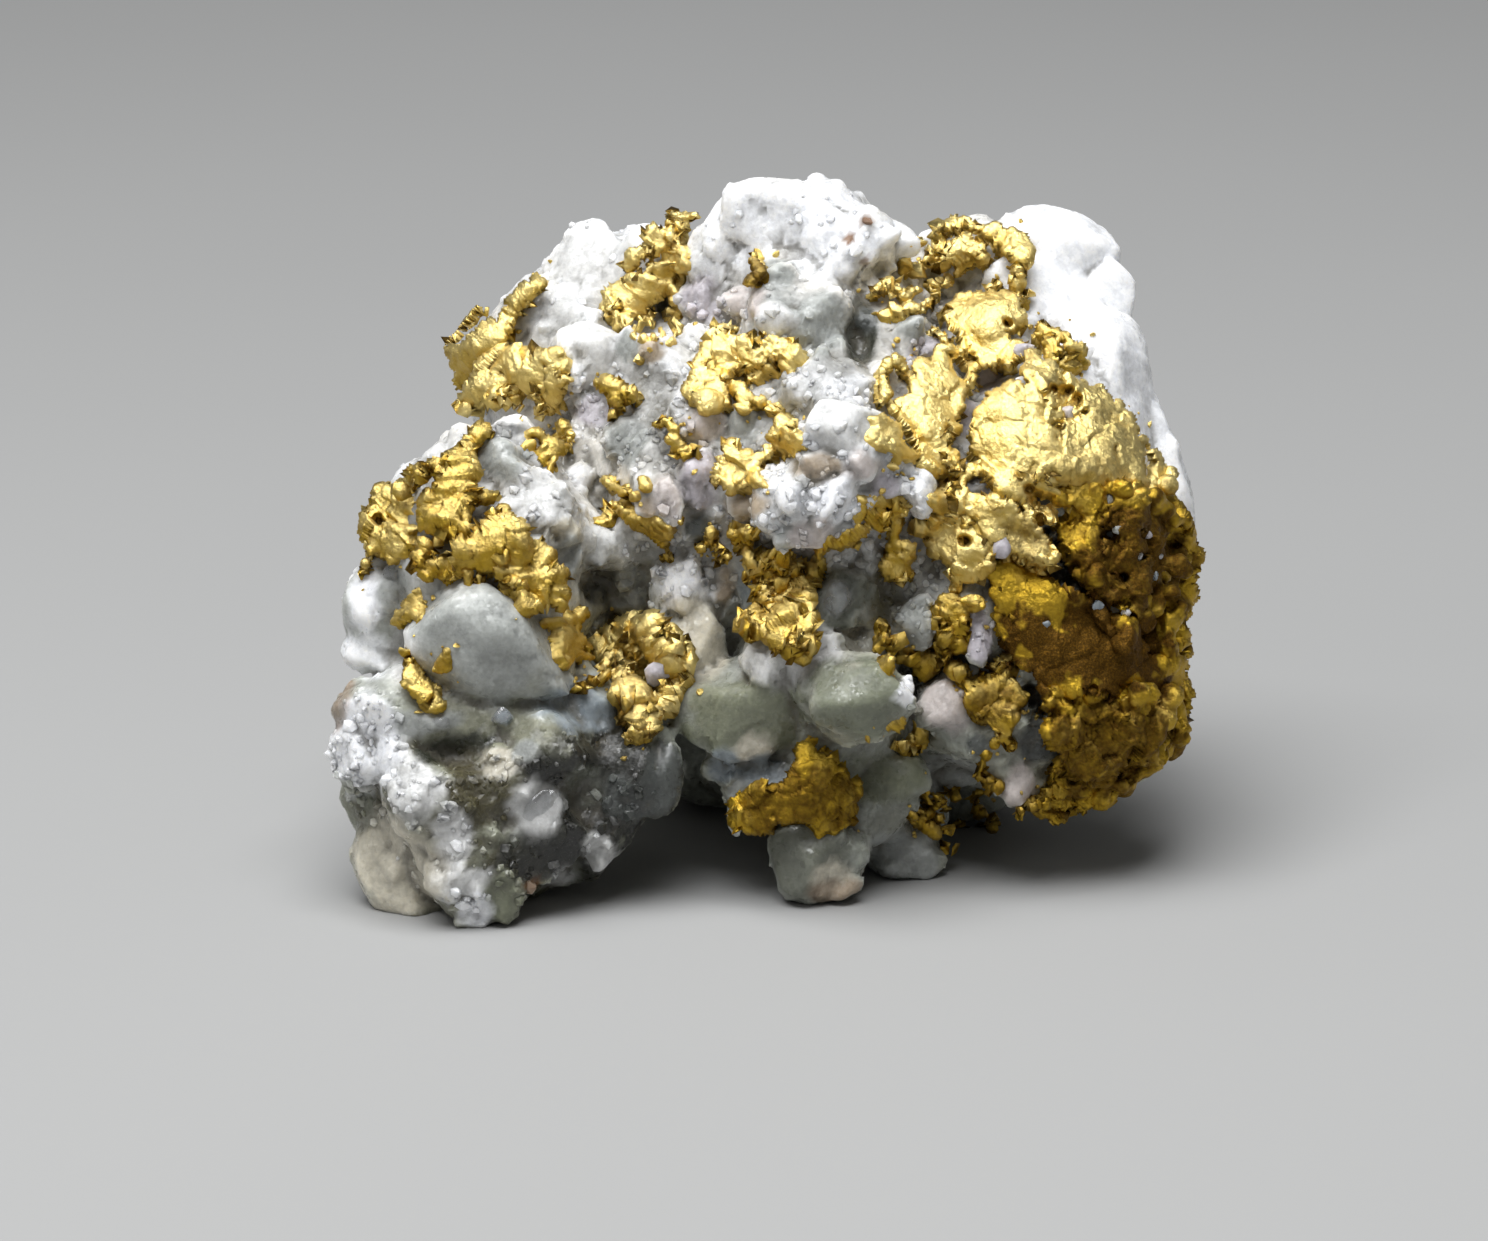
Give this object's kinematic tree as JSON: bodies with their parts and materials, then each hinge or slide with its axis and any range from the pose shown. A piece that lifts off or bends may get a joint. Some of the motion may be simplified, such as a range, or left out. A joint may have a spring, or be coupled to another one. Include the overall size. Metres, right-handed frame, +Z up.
{
  "type": "gold in quartz specimen",
  "caption": "Small lump of intergrown milky quartz crystals with native gold lying over and between them as ledges, hooks, leaves and rounded masses.",
  "frame": {"origin": "the middle of the bounding box, at the height of the flat spots under the feet", "axes": "+X to the right across the show face, which is also the longest way; +Y to the back; +Z up"},
  "size_m": [0.0148, 0.012, 0.0114],
  "materials": {
    "milky_quartz": "natural broken and crystalline milky quartz, sugary, partly translucent, with brown and olive stain in the clefts",
    "native_gold": "natural rough and pitted native gold, bright on the ridges, matte brown iron stain on the large plates"
  },
  "bodies": {
    "root": {"gold_apron": "native_gold", "gold_arc": "native_gold", "gold_back_knot": "native_gold", "gold_back_patch": "native_gold", "gold_back_vein": "native_gold", "gold_beads": "native_gold", "gold_branch": "native_gold", "gold_cap": "native_gold", "gold_chain": "native_gold", "gold_chip": "native_gold", "gold_cluster": "native_gold", "gold_crest": "native_gold", "gold_crust": "native_gold", "gold_curtain": "native_gold", "gold_east": "native_gold", "gold_flake": "native_gold", "gold_fleck": "native_gold", "gold_frame": "native_gold", "gold_glint": "native_gold", "gold_grain": "native_gold", "gold_hook": "native_gold", "gold_lattice": "native_gold", "gold_leaf": "native_gold", "gold_ledge": "native_gold", "gold_nodule": "native_gold", "gold_rim": "native_gold", "gold_saddle": "native_gold", "gold_sheet": "native_gold", "gold_shelf": "native_gold", "gold_shoulder": "native_gold", "gold_skirt": "native_gold", "gold_slab": "native_gold", "gold_spur": "native_gold", "gold_strip": "native_gold", "gold_thread": "native_gold", "gold_tip": "native_gold", "gold_toe": "native_gold", "gold_west": "native_gold", "quartz": "milky_quartz"}
  },
  "joints": []
}
